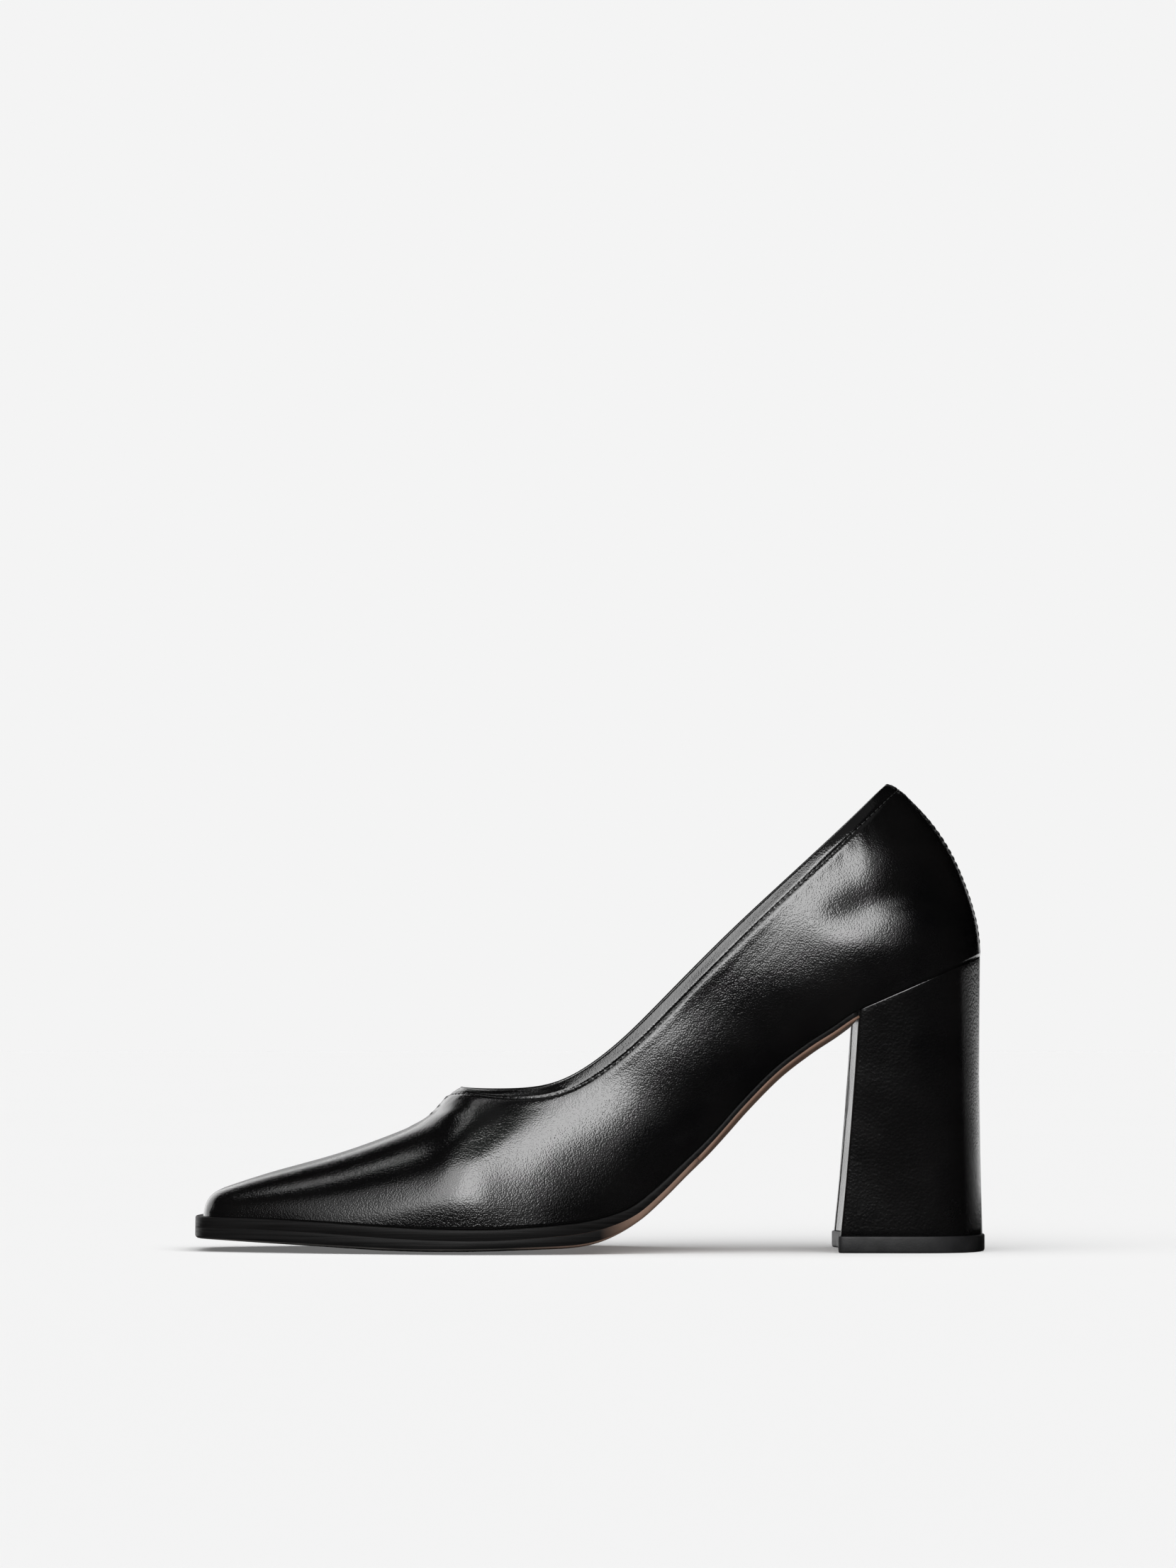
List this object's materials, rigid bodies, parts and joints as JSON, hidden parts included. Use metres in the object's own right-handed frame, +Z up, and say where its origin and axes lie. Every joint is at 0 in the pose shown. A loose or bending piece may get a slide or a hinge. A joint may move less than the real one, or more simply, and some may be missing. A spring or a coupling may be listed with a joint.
{
  "type": "high heel pump",
  "caption": "Low-cut leather court shoe for the left foot with a squared pointed toe, thick-edged sole and a high covered block heel.",
  "frame": {"origin": "on the floor, under the middle of the shoe's length and width", "axes": "+Z up; +X along the shoe from the toe towards the heel; -Y towards the outer side of the left foot"},
  "size_m": [0.2389, 0.0799, 0.142],
  "materials": {
    "black_calf": "satin gloss, fine pebble grain",
    "backing": "plain",
    "stiffener": "stiff resin-filled felt",
    "lining_leather": "matt, soft",
    "grip_suede": "suede",
    "board": "matt",
    "steel": "bright",
    "brass": "bright",
    "cork": "granular cork",
    "felt": "felt",
    "foam": "open-cell foam",
    "sock_leather": "matt, soft",
    "black_edge": "painted edge, taupe underside",
    "taupe_leather": "satin",
    "heel_plastic": "moulded",
    "heel_leather": "satin gloss, fine pebble grain",
    "top_piece_rubber": "matt",
    "thread": "bonded thread"
  },
  "bodies": {
    "root": {"upper_leather": "black_calf", "topline_tape": "backing", "toe_puff": "stiffener", "heel_counter": "stiffener", "interlining": "backing", "vamp_lining": "lining_leather", "quarter_lining": "lining_leather", "heel_grip": "grip_suede", "insole_board": "board", "shank": "steel", "shank_rivets": "brass", "forepart_filler": "cork", "waist_filler": "felt", "sock_foam": "foam", "sock_lining": "sock_leather", "midsole": "black_edge", "outsole_forepart": "black_edge", "outsole_waist": "taupe_leather", "heel_block": "heel_plastic", "heel_cover": "heel_leather", "breast_cover": "heel_leather", "top_piece": "top_piece_rubber", "top_piece_pins": "steel", "heel_screw": "steel", "heel_nails": "steel", "topline_stitching": "thread", "back_seam_stitching": "thread", "front_seam_stitching": "thread"}
  },
  "joints": []
}
